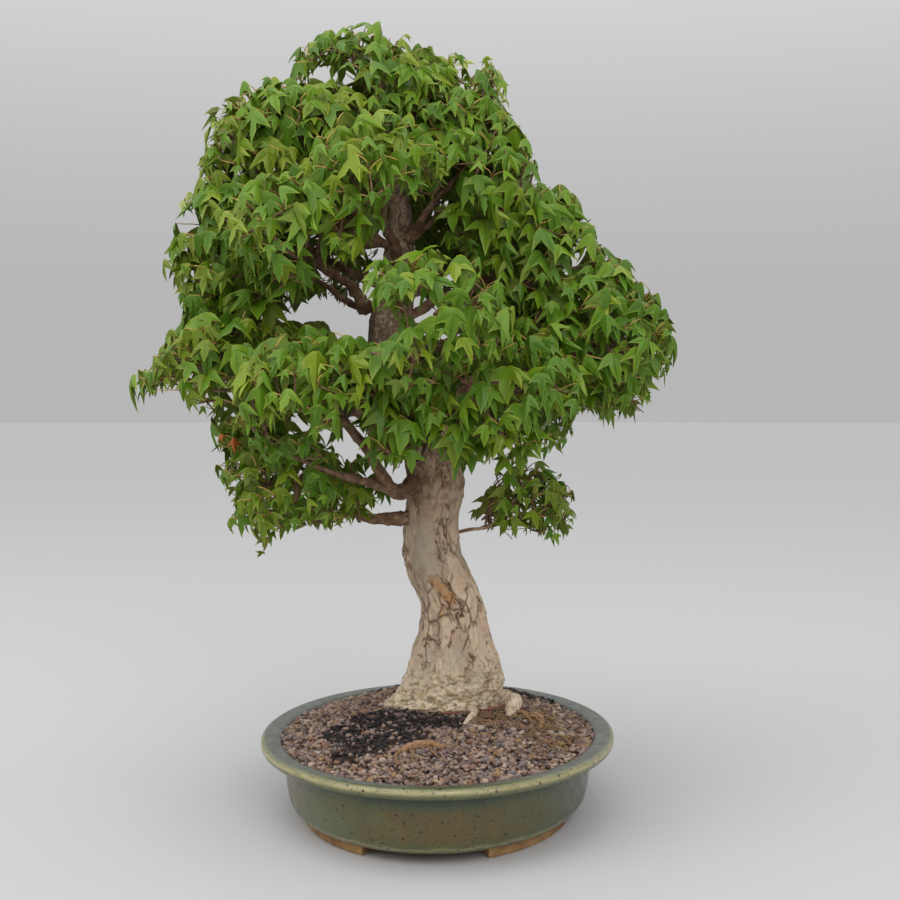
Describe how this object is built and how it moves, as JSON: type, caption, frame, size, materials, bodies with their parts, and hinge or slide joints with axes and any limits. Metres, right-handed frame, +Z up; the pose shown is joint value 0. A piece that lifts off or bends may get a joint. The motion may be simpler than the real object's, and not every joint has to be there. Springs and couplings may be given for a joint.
{
  "type": "trident maple bonsai in an oval pot",
  "caption": "Potted bonsai of a trident maple: a flared, leaning trunk, short boughs and a full crown of three-lobed leaves over gritty soil in an oval glazed pot on low feet.",
  "frame": {"origin": "on the table, under the middle of the whole plant's box", "axes": "+Z up; the pot's long axis runs along Y and the picture looks along +Y, with +X to the right"},
  "size_m": [0.5415, 0.5319, 0.782],
  "materials": {
    "glaze": "gloss",
    "grit": "matte",
    "bark": "matte",
    "leaves": "satin"
  },
  "bodies": {
    "root": {"bough_back_left": "bark", "bough_back_low": "bark", "bough_back_low_left": "bark", "bough_back_low_right": "bark", "bough_back_right": "bark", "bough_back_top": "bark", "bough_front": "bark", "bough_front_left": "bark", "bough_front_low": "bark", "bough_front_mid_left": "bark", "bough_front_right": "bark", "bough_front_upper": "bark", "bough_left": "bark", "bough_left_low": "bark", "bough_low_right": "bark", "bough_lower_left": "bark", "bough_right": "bark", "bough_right_upper": "bark", "bough_top_right": "bark", "bough_upper_left": "bark", "bough_upper_right": "bark", "foliage_back_left": "leaves", "foliage_back_low": "leaves", "foliage_back_low_left": "leaves", "foliage_back_low_right": "leaves", "foliage_back_right": "leaves", "foliage_back_top": "leaves", "foliage_front": "leaves", "foliage_front_left": "leaves", "foliage_front_low": "leaves", "foliage_front_mid_left": "leaves", "foliage_front_right": "leaves", "foliage_front_upper": "leaves", "foliage_left": "leaves", "foliage_left_low": "leaves", "foliage_low_right": "leaves", "foliage_lower_left": "leaves", "foliage_right": "leaves", "foliage_right_upper": "leaves", "foliage_top": "leaves", "foliage_top_right": "leaves", "foliage_upper_left": "leaves", "foliage_upper_right": "leaves", "pot": "glaze", "root_curl": "bark", "root_finger": "bark", "root_knob": "bark", "root_snag": "bark", "soil": "grit", "trunk": "bark"}
  },
  "joints": []
}
